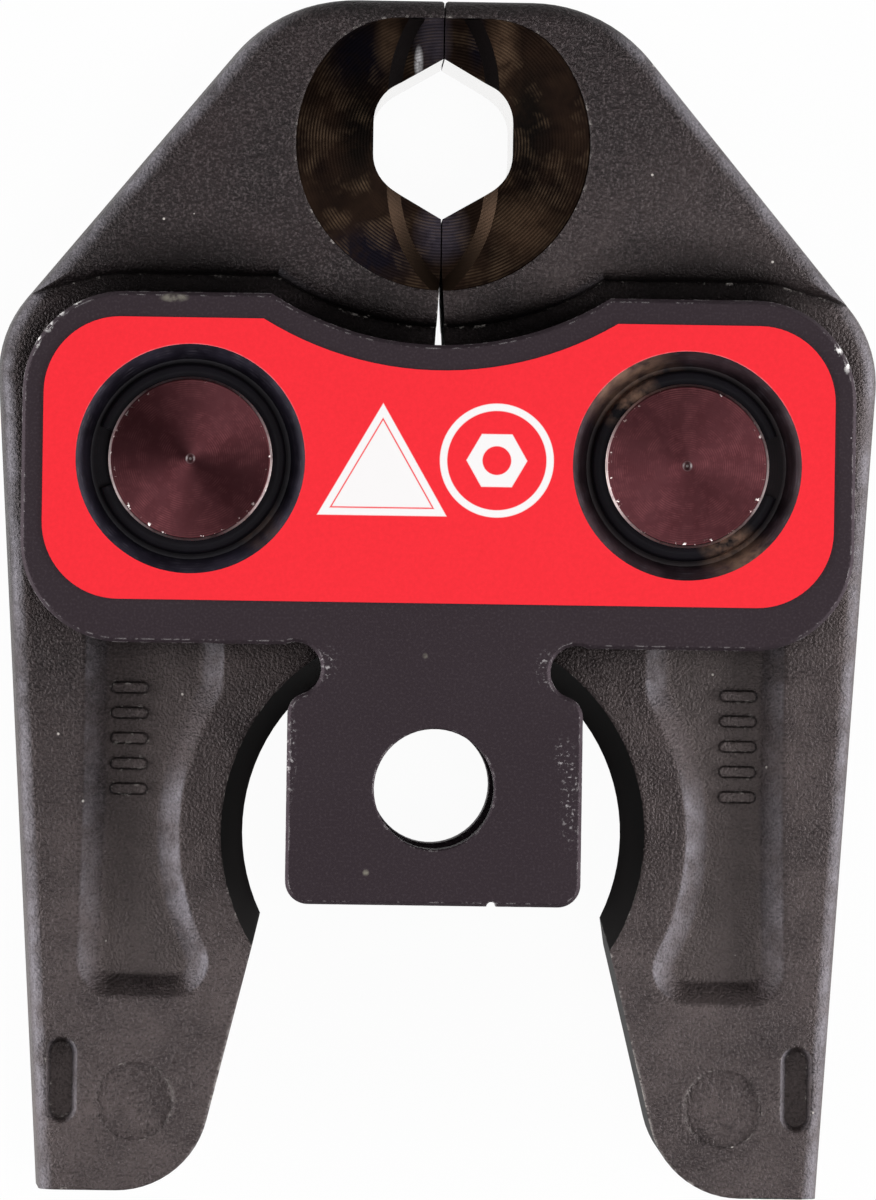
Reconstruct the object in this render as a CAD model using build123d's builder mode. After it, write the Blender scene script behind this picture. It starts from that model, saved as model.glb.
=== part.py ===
from build123d import *
import os
from math import cos, radians, sin, sqrt, tan

os.makedirs("parts", exist_ok=True)

# Press jaw for crimping pipe fittings, lying on its rear side plate, in millimetres.
# The origin is on the axis of the locking pin bore, on the rear face of the rear plate.
# +Z runs through the thickness to the front, +Y to the press mouth, +X to the right arm.

# Pivots
pivot_half_spacing = 29.25
pivot_height = 38.5
pin_radius = 9.65
pin_end_depth = 0.1
pin_end_chamfer = 0.35
centre_mark_radius = 0.55
centre_mark_depth = 0.5
plate_pin_clearance = 0.02
arm_pin_clearance = 0.05

# Side plates, set out from the pivots and from the locking pin bore
plate_thickness = 6.0
plate_end_margin = 19.85
plate_rise = 19.6
plate_drop = 21.7
plate_corner_radius = 12.0
dip_half_width = 20.0
dip_depth = 5.8
stem_half_width = 17.4
stem_bottom = -13.7
stem_corner_radius = 2.7
stem_shoulder_radius = 2.5
neck_relief_radius = 3.1
neck_relief_bite = 3.9
neck_relief_rise = 0.3
plate_edge_break = 0.4
locking_bore_radius = 7.1
locking_bore_edge_break = 0.15
stem_nick_x = 6.9
stem_nick_radius = 0.55

# Dished recesses and snap rings round the pin ends
dish_floor_width = 2.15
dish_flare = 1.7
dish_depth = 2.9
ring_wire_radius = 1.0
ring_seat = 0.4
ring_groove_clearance = 0.04
ring_gap_angle = 38.0
wire_sides = 8

# Front label
label_thickness = 0.15
label_side_margin = 2.5
label_top_margin = 3.0
label_bottom_margin = 5.1
label_corner_radius = 9.0

# Forged arms, between the plates
arm_thickness = 20.7
arm_play = 0.15
arm_overhang = 3.7
head_rise = 3.15
head_margin = 2.3
head_corner_angle = 15.0
head_edge_round = 2.0
forging_draft = 4.0
head_outer_round = 2.6
machining_stock = 3.0
leg_outer_round = 2.4
jaw_rise = 55.4
jaw_top_round = 18.3
shoulder_rise = 14.9
shoulder_angle = 50.4
shoulder_round = 14.0
leg_bottom = -48.1
foot_width = 18.3
leg_outer_corner_round = 1.8
leg_inner_corner_round = 11.0

# Parting faces and inner flanks: the flanks meet when both arms are fully open
split_gap = 0.08
split_nick = 0.8
slit_half_width = 0.6
slit_above_plate = 3.6
opening_angle = 13.0
flank_clearance = 0.1

# Cut-out for the tool's rollers, and the cam slopes below it
cutout_centre_y = -5.5
cutout_radius = 22.6
cutout_flare = 2.5
cam_angle = 13.8
cam_corner_drop = 9.9

# Press mouth
mouth_rise = 38.35
mouth_half_flats = 8.25
mouth_corner_round = 5.0
ring_face_radius = 17.4
ring_face_drop = 0.65
ring_face_depth = 1.3
ring_lip = 2.9
ring_corner_round = 11.0
scoop_offset_x = 11.2
scoop_offset_y = 5.2
scoop_radius = 17.8
scoop_floor_radius = 16.2
scoop_depth = 1.5

# Forged pockets in the legs, beside the cut-out
pocket_depth = 2.4
pocket_wall_angle = 48.0
pocket_inner_wall = 7.4
pocket_width = 11.4
pocket_flare = 0.6
pocket_flare_rise = 4.5
pocket_turn_rise = 16.6
pocket_straight = 10.7
pocket_drop = 19.7
pocket_corner_round = 4.2
pocket_rim_round = 0.8
pocket_floor_round = 1.2

# Small marks of the forging die, set out from the foot's outer corner and from the pocket
slot_inset = 3.1
slot_rise = 13.0
slot_length = 10.2
slot_width = 3.8
slot_depth = 1.4
slot_wall_angle = 25.0
ejector_inset = 11.8
ejector_rise = 10.6
ejector_radius = 4.6
ejector_depth = 0.2
bar_count = 5
bar_inset = 5.3
bar_rise = 10.9
bar_length = 4.6
bar_width = 1.5
bar_pitch = 3.0
bar_height = 0.5

# Jaw spring, in blind pockets that face each other across the flanks
spring_rise = 9.6
spring_wire_radius = 0.7
spring_coil_radius = 3.3
spring_turns = 5
spring_pocket_clearance = 0.4
spring_pocket_reach = 11.0
spring_end_clearance = 0.25

# How far cutters run past what they cut, and how near a picked edge may lie to a limit
cutter_reach = 25.0
overrun = 1.0

# Levels through the thickness
plate_gap = arm_thickness + 2 * arm_play
overall_thickness = 2 * plate_thickness + plate_gap
mid_level = overall_thickness / 2
seat_level = mid_level + arm_thickness / 2
head_level = seat_level + head_rise
mid_plane = Plane.XY.offset(mid_level)
seat_plane = Plane.XY.offset(seat_level)
pivots = {"left": -pivot_half_spacing, "right": pivot_half_spacing}

# Places that follow from the pivots
plate_half_width = pivot_half_spacing + plate_end_margin
plate_top = pivot_height + plate_rise
plate_bottom = pivot_height - plate_drop
dish_floor_radius = pin_radius + dish_floor_width
dish_radius = dish_floor_radius + dish_flare
jaw_top = pivot_height + jaw_rise
mouth_centre_y = pivot_height + mouth_rise
slit_top = plate_top + slit_above_plate


def dip_radius_and_centre(half_width, depth, top):
    radius = (half_width**2 + depth**2) / (2 * depth)
    return radius, top - depth + radius


dip_radius, dip_centre_y = dip_radius_and_centre(dip_half_width, dip_depth, plate_top)


def bar_face(side_margin, top_margin, bottom_margin, corner_radius):
    """The dipped bar of the side plates, narrowed by a margin on each side."""
    half_width = plate_half_width - side_margin
    top = plate_top - top_margin
    arc_radius = dip_radius + top_margin
    kink_x = sqrt(arc_radius**2 - (dip_centre_y - top) ** 2)
    with BuildSketch() as bar:
        with BuildLine():
            dip = ThreePointArc((-kink_x, top), (0, dip_centre_y - arc_radius), (kink_x, top))
            Polyline(
                dip @ 1,
                (half_width, top),
                (half_width, plate_bottom + bottom_margin),
                (-half_width, plate_bottom + bottom_margin),
                (-half_width, top),
                dip @ 0,
            )
        make_face()
        fillet(
            bar.vertices().group_by(Axis.X)[0] + bar.vertices().group_by(Axis.X)[-1],
            corner_radius,
        )
    return bar.sketch


# The T outline of a side plate: the bar, the stem and a relief bitten into each inner corner.
neck_relief_x = stem_half_width - neck_relief_bite + neck_relief_radius
neck_relief_y = plate_bottom + neck_relief_rise - neck_relief_radius
with BuildSketch() as plate_face:
    add(bar_face(0, 0, 0, plate_corner_radius))
    stem_height = plate_bottom - stem_bottom + overrun
    with Locations((0, stem_bottom)):
        Rectangle(2 * stem_half_width, stem_height, align=(Align.CENTER, Align.MIN))
    with Locations((-neck_relief_x, neck_relief_y), (neck_relief_x, neck_relief_y)):
        Circle(neck_relief_radius, mode=Mode.SUBTRACT)
    fillet(plate_face.vertices().group_by(Axis.Y)[0], stem_corner_radius)
    shoulder_drop = sqrt(neck_relief_radius**2 - (stem_half_width - neck_relief_x) ** 2)
    for side in (-1, 1):
        lip = (side * stem_half_width, neck_relief_y - shoulder_drop)
        fillet(plate_face.vertices().sort_by_distance(lip)[0], stem_shoulder_radius)

# Rear side plate: cut from plate, its edges broken, dished round each pin and bored for the pins.
with BuildPart() as rear_plate:
    add(plate_face.sketch)
    extrude(amount=plate_thickness)
    chamfer(rear_plate.faces().sort_by(Axis.Z)[0].edges(), plate_edge_break)
    chamfer(rear_plate.faces().sort_by(Axis.Z)[-1].edges(), plate_edge_break)
    for x in pivots.values():
        with Locations((x, pivot_height, dish_depth / 2)):
            Cone(dish_radius, dish_floor_radius, dish_depth, mode=Mode.SUBTRACT)
        with Locations((x, pivot_height, plate_thickness / 2)):
            Cylinder(pin_radius + plate_pin_clearance, plate_thickness, mode=Mode.SUBTRACT)
    with Locations((0, 0, plate_thickness / 2)):
        Cylinder(locking_bore_radius, plate_thickness, mode=Mode.SUBTRACT)
    bore_rim = rear_plate.edges().filter_by(GeomType.CIRCLE).filter_by(
        lambda edge: abs(edge.radius - locking_bore_radius) < 0.001
    )
    chamfer(bore_rim, locking_bore_edge_break)
rear_plate.part.label = "rear_plate"
export_step(rear_plate.part, "parts/rear_plate.step")

# Front side plate: the same plate turned over, with one small nick knocked into its lower edge.
with BuildPart() as front_plate:
    add(mirror(rear_plate.part, about=mid_plane, mode=Mode.PRIVATE))
    with Locations((stem_nick_x, stem_bottom, overall_thickness - plate_thickness / 2)):
        Cylinder(stem_nick_radius, plate_thickness, mode=Mode.SUBTRACT)
front_plate.part.label = "front_plate"
export_step(front_plate.part, "parts/front_plate.step")

# Front label: a thin red sheet with the plate's outline inset, holed round both pins.
with BuildPart() as front_label:
    with BuildSketch(Plane.XY.offset(overall_thickness)):
        add(bar_face(label_side_margin, label_top_margin, label_bottom_margin, label_corner_radius))
        with Locations(*[(x, pivot_height) for x in pivots.values()]):
            Circle(dish_radius, mode=Mode.SUBTRACT)
    extrude(amount=label_thickness)
front_label.part.label = "front_label"
export_step(front_label.part, "parts/front_label.step")

# Pivot pins: turned pins with a groove near each end and a centre mark in each face.
ring_centre_radius = pin_radius - ring_seat + ring_wire_radius
ring_levels = {
    "front": overall_thickness - dish_depth + ring_wire_radius,
    "rear": dish_depth - ring_wire_radius,
}
pin_length = overall_thickness - 2 * pin_end_depth
for side, x in pivots.items():
    with BuildPart() as pivot_pin:
        with Locations((x, pivot_height, mid_level)):
            Cylinder(pin_radius, pin_length)
        chamfer(pivot_pin.edges().filter_by(GeomType.CIRCLE), pin_end_chamfer)
        with BuildSketch(Plane.XZ.offset(-pivot_height)):
            with Locations(*[(x + ring_centre_radius, level) for level in ring_levels.values()]):
                RegularPolygon(ring_wire_radius + ring_groove_clearance, wire_sides)
        revolve(axis=Axis((x, pivot_height, 0), (0, 0, 1)), mode=Mode.SUBTRACT)
        mark_offset = (pin_length - centre_mark_depth) / 2
        with Locations((x, pivot_height, mid_level + mark_offset)):
            Cone(0, centre_mark_radius, centre_mark_depth, mode=Mode.SUBTRACT)
        with Locations((x, pivot_height, mid_level - mark_offset)):
            Cone(centre_mark_radius, 0, centre_mark_depth, mode=Mode.SUBTRACT)
    pivot_pin.part.label = f"pivot_pin_{side}"
    export_step(pivot_pin.part, f"parts/pivot_pin_{side}.step")

# Snap rings: wire rings, open on the outer side, lying on the floor of each dish. The real wire is
# round, and here it has eight flats, as its grooves in the pins have, which keeps the parts light.
gap_direction = {"left": 180.0, "right": 0.0}
for face, level in ring_levels.items():
    for side, x in pivots.items():
        with BuildPart() as snap_ring:
            with BuildLine(Plane.XY.offset(level)) as wire:
                CenterArc(
                    (x, pivot_height),
                    ring_centre_radius,
                    gap_direction[side] + ring_gap_angle / 2,
                    360 - ring_gap_angle,
                )
            with BuildSketch(Plane(origin=wire.line @ 0, x_dir=(0, 0, 1), z_dir=wire.line % 0)):
                RegularPolygon(ring_wire_radius, wire_sides)
            sweep(path=wire.line)
        snap_ring.part.label = f"{face}_ring_{side}"
        export_step(snap_ring.part, f"parts/{face}_ring_{side}.step")

# Sharp corners of the right arm's outline, worked out from its slopes.
shoulder_x = plate_half_width + arm_overhang
shoulder_y = pivot_height + shoulder_rise
top_corner_x = shoulder_x - (jaw_top - shoulder_y) / tan(radians(shoulder_angle))
cam_corner_x = sqrt(cutout_radius**2 - cam_corner_drop**2)
cam_corner_y = cutout_centre_y - cam_corner_drop
leg_inner_x = cam_corner_x + (cam_corner_y - leg_bottom) * tan(radians(cam_angle))
leg_outer_x = leg_inner_x + foot_width


def flank_x(depth):
    """Where the flank lies at a depth below the pivots, to stand upright beside the centre when open."""
    swing = radians(opening_angle)
    reach = pivot_half_spacing - flank_clearance
    return pivot_half_spacing - (reach - depth * sin(swing)) / cos(swing)


flank_start = (slit_half_width - flank_x(0)) / (flank_x(1) - flank_x(0))
cutout_top = cutout_centre_y + cutout_radius
flank_end = pivot_height - cutout_top + slit_half_width


# The thicker head stops short of the plates' upper edge by the margin that the arm needs to swing
# open.
head_bottom = plate_top + head_margin
margin_radius = dip_radius - head_margin
margin_kink_x = sqrt(margin_radius**2 - (dip_centre_y - head_bottom) ** 2)


def head_edge():
    """Lower edge of the head, run out to beyond the arm's skin."""
    with BuildLine() as edge:
        dip = ThreePointArc(
            (-margin_kink_x, head_bottom),
            (0, dip_centre_y - margin_radius),
            (margin_kink_x, head_bottom),
        )
        along = Line(dip @ 1, (plate_half_width - plate_corner_radius, head_bottom))
        corner = JernArc(along @ 1, (1, 0), plate_corner_radius + head_margin, -head_corner_angle)
        Line(corner @ 1, corner @ 1 + (corner % 1) * cutter_reach)
    return edge.line


# Cutter that rolls that edge over: a hollow quarter round run along it.
roll_path = head_edge().moved(Location((0, 0, head_level)))
with BuildPart() as edge_roll:
    with BuildSketch(Plane(origin=roll_path @ 0, x_dir=(0, 0, 1), z_dir=roll_path % 0)):
        with BuildLine():
            CenterArc((-head_edge_round, -head_edge_round), head_edge_round, 0, 90)
            Polyline(
                (0, -head_edge_round),
                (head_rise, -head_edge_round),
                (head_rise, head_rise / 2),
                (-head_edge_round, head_rise / 2),
                (-head_edge_round, 0),
            )
        make_face()
    sweep(path=roll_path, transition=Transition.RIGHT)


# Rim of the forged pocket in the leg: on its inner side it follows the cut-out and then runs
# straight up under the plate.
rim_radius = cutout_radius + pocket_inner_wall
pocket_turn_x = sqrt(rim_radius**2 - pocket_turn_rise**2)
pocket_outer_x = rim_radius + pocket_width
pocket_top = cutout_centre_y + pocket_turn_rise + pocket_straight
pocket_bottom = cutout_centre_y - pocket_drop
with BuildSketch(seat_plane) as pocket_rim:
    with BuildLine():
        inner = ThreePointArc(
            (sqrt(rim_radius**2 - pocket_drop**2), pocket_bottom),
            (rim_radius, cutout_centre_y),
            (pocket_turn_x, cutout_centre_y + pocket_turn_rise),
        )
        Polyline(
            inner @ 1,
            (pocket_turn_x, pocket_top),
            (pocket_outer_x, pocket_top),
            (pocket_outer_x, cutout_centre_y + pocket_flare_rise),
            (pocket_outer_x + pocket_flare, pocket_bottom),
            inner @ 0,
        )
    make_face()
    ends = pocket_rim.vertices().group_by(Axis.Y)
    fillet(ends[0] + ends[2] + ends[-1], pocket_corner_round)
    fillet(ends[1], shoulder_round)


def flat_face(half, level):
    """The largest flat face at a level."""
    flats = half.faces().filter_by(Axis.Z)
    at_level = flats.filter_by(lambda face: abs(face.center().Z - level) < pocket_depth / 2)
    return at_level.sort_by(SortBy.AREA)[-1]


# Forged front half of the right arm, standing on its parting plane: drafted and rolled on the
# outside, with stock at the foot. The leg's seat between the plates is cut below the head. Then
# come the leg's pocket, the small slot near its outer edge and the ejector mark.
foot = leg_bottom - machining_stock
foot_x = leg_outer_x - machining_stock * (shoulder_x - leg_outer_x) / (shoulder_y - leg_bottom)
half_height = head_level - mid_level
with BuildPart() as forging:
    with BuildSketch(mid_plane):
        with BuildLine():
            Polyline(
                (split_gap, jaw_top),
                (top_corner_x, jaw_top),
                (shoulder_x, shoulder_y),
                (foot_x, foot),
                (leg_inner_x, foot),
                (flank_x(flank_end), pivot_height - flank_end),
                (slit_half_width, pivot_height - flank_start),
                (slit_half_width, plate_top - dip_depth),
                (split_gap, slit_top),
                close=True,
            )
        make_face()
    extrude(amount=half_height)
    skin_points = [
        (top_corner_x / 2, jaw_top),
        ((top_corner_x + shoulder_x) / 2, (jaw_top + shoulder_y) / 2),
        ((shoulder_x + foot_x) / 2, (shoulder_y + foot) / 2),
    ]
    skin = ShapeList(
        forging.faces().sort_by_distance((x, y, mid_level + half_height / 2))[0]
        for x, y in skin_points
    )
    draft(skin, neutral_plane=mid_plane, angle=forging_draft)
    for x, y, radius in (
        (top_corner_x, jaw_top, jaw_top_round),
        (shoulder_x, shoulder_y, shoulder_round),
    ):
        upright = forging.edges().filter_by(lambda edge: edge.bounding_box().size.Z > half_height / 2)
        fillet(upright.sort_by_distance((x, y, mid_level))[0], radius)
    head_rim = forging.faces().sort_by(Axis.Z)[-1].edges()
    fillet(
        head_rim.filter_by(
            lambda edge: edge.center().X > pivot_half_spacing or edge.center().Y > mouth_centre_y
        ).filter_by(lambda edge: edge.center().Y > foot + overrun and edge.center().X > overrun),
        head_outer_round,
    )
    with BuildSketch(seat_plane):
        with BuildLine():
            edge = head_edge()
            add(edge)
            below = foot - machining_stock
            Polyline(edge @ 1, ((edge @ 1).X, below), (-margin_kink_x, below), edge @ 0)
        make_face()
    extrude(amount=half_height, mode=Mode.SUBTRACT)
    fillet(
        flat_face(forging, seat_level).edges().filter_by(
            lambda edge: edge.center().X > pocket_outer_x and edge.center().Y > foot + overrun
        ).filter_by(lambda edge: edge.center().Y < head_bottom - head_margin),
        leg_outer_round,
    )
    add(edge_roll.part, mode=Mode.SUBTRACT)
    add(pocket_rim.sketch)
    extrude(amount=-pocket_depth, taper=pocket_wall_angle, mode=Mode.SUBTRACT)
    pocket_edges = flat_face(forging, seat_level).inner_wires().sort_by(SortBy.LENGTH)[-1].edges()
    fillet(pocket_edges, pocket_rim_round)
    fillet(flat_face(forging, seat_level - pocket_depth).edges(), pocket_floor_round)
    with BuildSketch(seat_plane):
        with Locations((leg_outer_x - slot_inset, leg_bottom + slot_rise)):
            SlotOverall(slot_length, slot_width, rotation=90)
    extrude(amount=-slot_depth, taper=slot_wall_angle, mode=Mode.SUBTRACT)
    ejector_mark = (leg_outer_x - ejector_inset, leg_bottom + ejector_rise, seat_level)
    with Locations(ejector_mark):
        Cylinder(ejector_radius, 2 * ejector_depth, mode=Mode.SUBTRACT)

# Machined contour that the foot and the cam slope are milled to, square to the parting plane.
with BuildSketch(mid_plane) as machined_contour:
    with BuildLine():
        Polyline(
            (shoulder_x, shoulder_y),
            (leg_outer_x, leg_bottom),
            (leg_inner_x, leg_bottom),
            (cam_corner_x, cam_corner_y),
            (-shoulder_x, cam_corner_y),
            (-shoulder_x, jaw_top + machining_stock),
            (shoulder_x + machining_stock, jaw_top + machining_stock),
            (shoulder_x + machining_stock, shoulder_y),
            close=True,
        )
    make_face()
    foot_corners = machined_contour.vertices().group_by(Axis.Y)[0].sort_by(Axis.X)
    fillet(foot_corners[0], leg_inner_corner_round)
    fillet(foot_corners[-1], leg_outer_corner_round)

# Recess round the mouth: a flat ring that stops short of the jaw's top, and below it two scoops in
# each half that meet at the split and leave a shelf round the hexagon.
ring_level = head_level - ring_face_depth
ring_centre_y = mouth_centre_y - ring_face_drop
with BuildSketch(Plane.XY.offset(ring_level)) as ring_recess:
    with Locations((0, ring_centre_y)):
        Circle(ring_face_radius)
    with Locations((0, jaw_top - ring_lip)):
        Rectangle(
            2 * ring_face_radius,
            ring_face_radius,
            align=(Align.CENTER, Align.MIN),
            mode=Mode.SUBTRACT,
        )
    fillet(ring_recess.vertices().group_by(Axis.Y)[-1], ring_corner_round)

with BuildPart() as scoops:
    for lift in (-scoop_offset_y, scoop_offset_y):
        with Locations((-scoop_offset_x, mouth_centre_y + lift, ring_level - scoop_depth / 2)):
            Cone(scoop_floor_radius, scoop_radius, scoop_depth)
    add(ring_recess.sketch)
    extrude(amount=scoop_depth, both=True, mode=Mode.INTERSECT)

with BuildPart() as front_half:
    add(forging.part)
    add(machined_contour.sketch)
    extrude(amount=arm_thickness, mode=Mode.INTERSECT)
    with BuildSketch(Plane.XZ.offset(-cutout_centre_y)):
        with BuildLine():
            Polyline(
                (0, mid_level - overrun),
                (cutout_radius, mid_level - overrun),
                (cutout_radius, mid_level),
                (cutout_radius + cutout_flare, seat_level),
                (cutout_radius + cutout_flare, head_level + overrun),
                (0, head_level + overrun),
                close=True,
            )
        make_face()
    revolve(axis=Axis((0, cutout_centre_y, 0), (0, 0, 1)), mode=Mode.SUBTRACT)
    add(ring_recess.sketch)
    extrude(amount=2 * ring_face_depth, mode=Mode.SUBTRACT)
    add(scoops.part, mode=Mode.SUBTRACT)

# The press profile: a hexagon with an apex at each end of the split and rounded side corners.
with BuildSketch(mid_plane) as press_profile:
    with Locations((0, mouth_centre_y)):
        RegularPolygon(mouth_half_flats, 6, major_radius=False, rotation=30)
    sides = press_profile.vertices().group_by(Axis.X)
    fillet(sides[0] + sides[-1], mouth_corner_round)

# Right arm: both halves of the forging, bored for its pivot pin and for the jaw spring.
spring_height = cutout_top + spring_rise
spring_pocket_radius = spring_coil_radius + spring_wire_radius + spring_pocket_clearance
with BuildPart() as jaw_right:
    add(front_half.part)
    mirror(about=mid_plane)
    add(press_profile.sketch)
    extrude(amount=arm_thickness, both=True, mode=Mode.SUBTRACT)
    with Locations((pivot_half_spacing, pivot_height, mid_level)):
        Cylinder(pin_radius + arm_pin_clearance, arm_thickness, mode=Mode.SUBTRACT)
    with Locations(Location((0, spring_height, mid_level), (0, 90, 0))):
        Cylinder(spring_pocket_radius, 2 * spring_pocket_reach, mode=Mode.SUBTRACT)
    with BuildSketch(mid_plane):
        with Locations((0, jaw_top)):
            Rectangle(2 * split_nick, 2 * split_nick, rotation=45)
    extrude(amount=arm_thickness, both=True, mode=Mode.SUBTRACT)
    with BuildSketch(seat_plane.offset(-pocket_depth)):
        with Locations((pocket_outer_x - bar_inset, cutout_centre_y + bar_rise)):
            with GridLocations(0, bar_pitch, 1, bar_count):
                SlotOverall(bar_length, bar_width)
    extrude(amount=bar_height, taper=slot_wall_angle)
jaw_right.part.label = "jaw_right"
export_step(jaw_right.part, "parts/jaw_right.step")

# Left arm: the mirror image of the right one.
with BuildPart() as jaw_left:
    add(mirror(jaw_right.part, about=Plane.YZ, mode=Mode.PRIVATE))
jaw_left.part.label = "jaw_left"
export_step(jaw_left.part, "parts/jaw_left.step")

# Jaw spring: a compression coil that pushes the legs apart and so keeps the mouth closed. Its wire
# has the same eight flats as the snap rings.
spring_end = spring_pocket_reach - spring_end_clearance - spring_wire_radius
with BuildPart() as jaw_spring:
    with BuildLine() as coil:
        Helix(
            2 * spring_end / spring_turns,
            2 * spring_end,
            spring_coil_radius,
            center=(-spring_end, spring_height, mid_level),
            direction=(1, 0, 0),
        )
    with BuildSketch(Plane(origin=coil.line @ 0, z_dir=coil.line % 0)):
        RegularPolygon(spring_wire_radius, wire_sides)
    sweep(path=coil.line, is_frenet=True)
jaw_spring.part.label = "jaw_spring"
export_step(jaw_spring.part, "parts/jaw_spring.step")
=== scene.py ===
# %% [markdown]
# A press jaw crimps pipe fittings. The press tool pins it through the bore in its stem, drives two
# rollers between its legs, and the mouth at the top closes with several tonnes. This lesson dresses
# the solid model of such a jaw: we keep its shapes, and give each surface the finish that the shop
# left on it and the wear that the job added. First we load the model, which arrives in metres.

# %% Load the jaw
import math
import bmesh
import bpy
from mathutils import Matrix, Vector


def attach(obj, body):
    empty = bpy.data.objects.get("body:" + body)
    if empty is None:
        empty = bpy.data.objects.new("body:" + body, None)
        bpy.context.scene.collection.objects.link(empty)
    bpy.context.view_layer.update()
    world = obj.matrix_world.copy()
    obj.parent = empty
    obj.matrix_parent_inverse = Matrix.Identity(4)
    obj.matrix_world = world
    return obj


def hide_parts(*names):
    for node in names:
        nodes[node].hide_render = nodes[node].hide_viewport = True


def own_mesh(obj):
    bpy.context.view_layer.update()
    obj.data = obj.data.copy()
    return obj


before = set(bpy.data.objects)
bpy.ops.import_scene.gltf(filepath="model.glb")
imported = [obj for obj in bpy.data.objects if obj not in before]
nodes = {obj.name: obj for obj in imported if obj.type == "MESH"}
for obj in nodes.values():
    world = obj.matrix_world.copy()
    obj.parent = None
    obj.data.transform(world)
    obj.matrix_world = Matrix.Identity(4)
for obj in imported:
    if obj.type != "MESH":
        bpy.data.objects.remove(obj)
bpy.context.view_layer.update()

mm = 0.001


print("nodes:", sorted(nodes))

# %% [markdown]
# The picture is taken from almost straight above, by a long lens about a metre away, a little to the
# left of the jaw. Such a long lens keeps the sides of the jaw nearly hidden. We could move the frame
# with lens shift, but turning the camera slightly is what a photographer does, so we place the eye,
# aim it at the middle of the frame and roll it by the small angle at which the jaw lies.

# %% Camera
image_rows = 1200
rows_per_mm = 8.5
frame_height = image_rows / rows_per_mm * mm
front_level = 33.0 * mm
stand_height = 950 * mm
aim = Vector((0.12 * mm, 22.3 * mm, front_level))
eye = Vector((-17.0 * mm, 21.0 * mm, front_level + stand_height))
roll = math.radians(0.85)

camera_data = bpy.data.cameras.new("copy_stand")
camera = bpy.data.objects.new("copy_stand", camera_data)
bpy.context.scene.collection.objects.link(camera)
bpy.context.scene.camera = camera
backwards = (eye - aim).normalized()
sideways = Vector((math.cos(roll), math.sin(roll), 0))
sideways = (sideways - sideways.dot(backwards) * backwards).normalized()
turn = Matrix((sideways, backwards.cross(sideways), backwards)).transposed()
camera.matrix_world = Matrix.Translation(eye) @ turn.to_4x4()
camera_data.sensor_fit = "VERTICAL"
camera_data.sensor_height = 24.0
camera_data.lens = camera_data.sensor_height * (eye - aim).length / frame_height
camera_data.clip_start = 0.01
print("lens in mm:", round(camera_data.lens, 1))

# %% [markdown]
# Two small helpers serve every finish below. Colours are written as the hex values that a designer
# reads off a screen, but light adds up in linear values, so one function converts them. Another adds
# one shader node: first its settings, then its inputs, where an input is either a plain value or the
# output of an earlier node.

# %% Colour and node helpers
def paint(code):
    """Linear RGBA for an sRGB hex colour."""
    channels = [int(code[i:i + 2], 16) / 255 for i in (1, 3, 5)]
    return [c / 12.92 if c <= 0.04045 else ((c + 0.055) / 1.055) ** 2.4 for c in channels] + [1.0]


def node(tree, kind, settings=None, inputs=None):
    """Adds one shader node with its settings, and fills or links its inputs."""
    made = tree.nodes.new("ShaderNode" + kind)
    for name, value in (settings or {}).items():
        setattr(made, name, value)
    for key, value in (inputs or {}).items():
        if isinstance(value, bpy.types.NodeSocket):
            tree.links.new(value, made.inputs[key])
        else:
            made.inputs[key].default_value = value
    return made


print("mid grey in linear light:", round(paint("#808080")[0], 3))

# %% [markdown]
# The jaw lies on a pale table in a light tent. Its background is pure white, and we get that from the
# table itself: rays from the camera, and rays mirrored in metal, mostly see a plain white glow, and
# the rest of the mix is ordinary diffuse white that still takes the jaw's shadow. The table lies a
# hair below the jaw, so that the two never share a plane.

# %% Table
table_reach = 3.0
table_drop = 0.05 * mm
glow_share = 0.96
table_mesh = bpy.data.meshes.new("table")
corners = [(x * table_reach, y * table_reach, 0) for x, y in ((-1, -1), (1, -1), (1, 1), (-1, 1))]
table_mesh.from_pydata(corners, [], [(0, 1, 2, 3)])
table = bpy.data.objects.new("table", table_mesh)
table.location.z = -table_drop
bpy.context.scene.collection.objects.link(table)

white_card = bpy.data.materials.new("white_card")
white_card.use_nodes = True
tree = white_card.node_tree
tree.nodes.clear()
ray = node(tree, "LightPath")
seen = node(tree, "Math", {"operation": "MAXIMUM"}, {
    0: ray.outputs["Is Camera Ray"], 1: ray.outputs["Is Glossy Ray"],
})
seen = node(tree, "Math", {"operation": "MAXIMUM"}, {
    0: seen.outputs[0], 1: ray.outputs["Is Transmission Ray"],
})
share = node(tree, "Math", {"operation": "MULTIPLY"}, {0: seen.outputs[0], 1: glow_share})
card = node(tree, "BsdfDiffuse", None, {"Color": paint("#f4f4f4")})
glow = node(tree, "Emission", None, {"Color": paint("#ffffff"), "Strength": 1.0})
mixed = node(tree, "MixShader", None, {0: share.outputs[0], 1: card.outputs[0], 2: glow.outputs[0]})
node(tree, "OutputMaterial", None, {"Surface": mixed.outputs[0]})
table_mesh.materials.append(white_card)
print("table width in m:", 2 * table_reach)

# %% [markdown]
# Dark oxidised steel has hardly any colour of its own. What the eye sees is what it mirrors, so the
# lights shape it. The main lamp is small and hangs close to the camera, a little towards the foot
# and the right. Flat faces mirror it softly, the legs more than the head, and whatever tilts away
# from it falls to black: that draws the step of the head and the grain of the forging. It also draws
# the streak on each turned pin, which always points at the lamp. Two low, wide boxes light the walls
# of the pockets and the rolled edges from the sides. The tent's side walls are lit, and its ends and
# its roof are dim, so walls that look along the jaw stay dark.

# %% Lights
jaw_middle = Vector((0, 22.3 * mm, 16.5 * mm))


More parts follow.
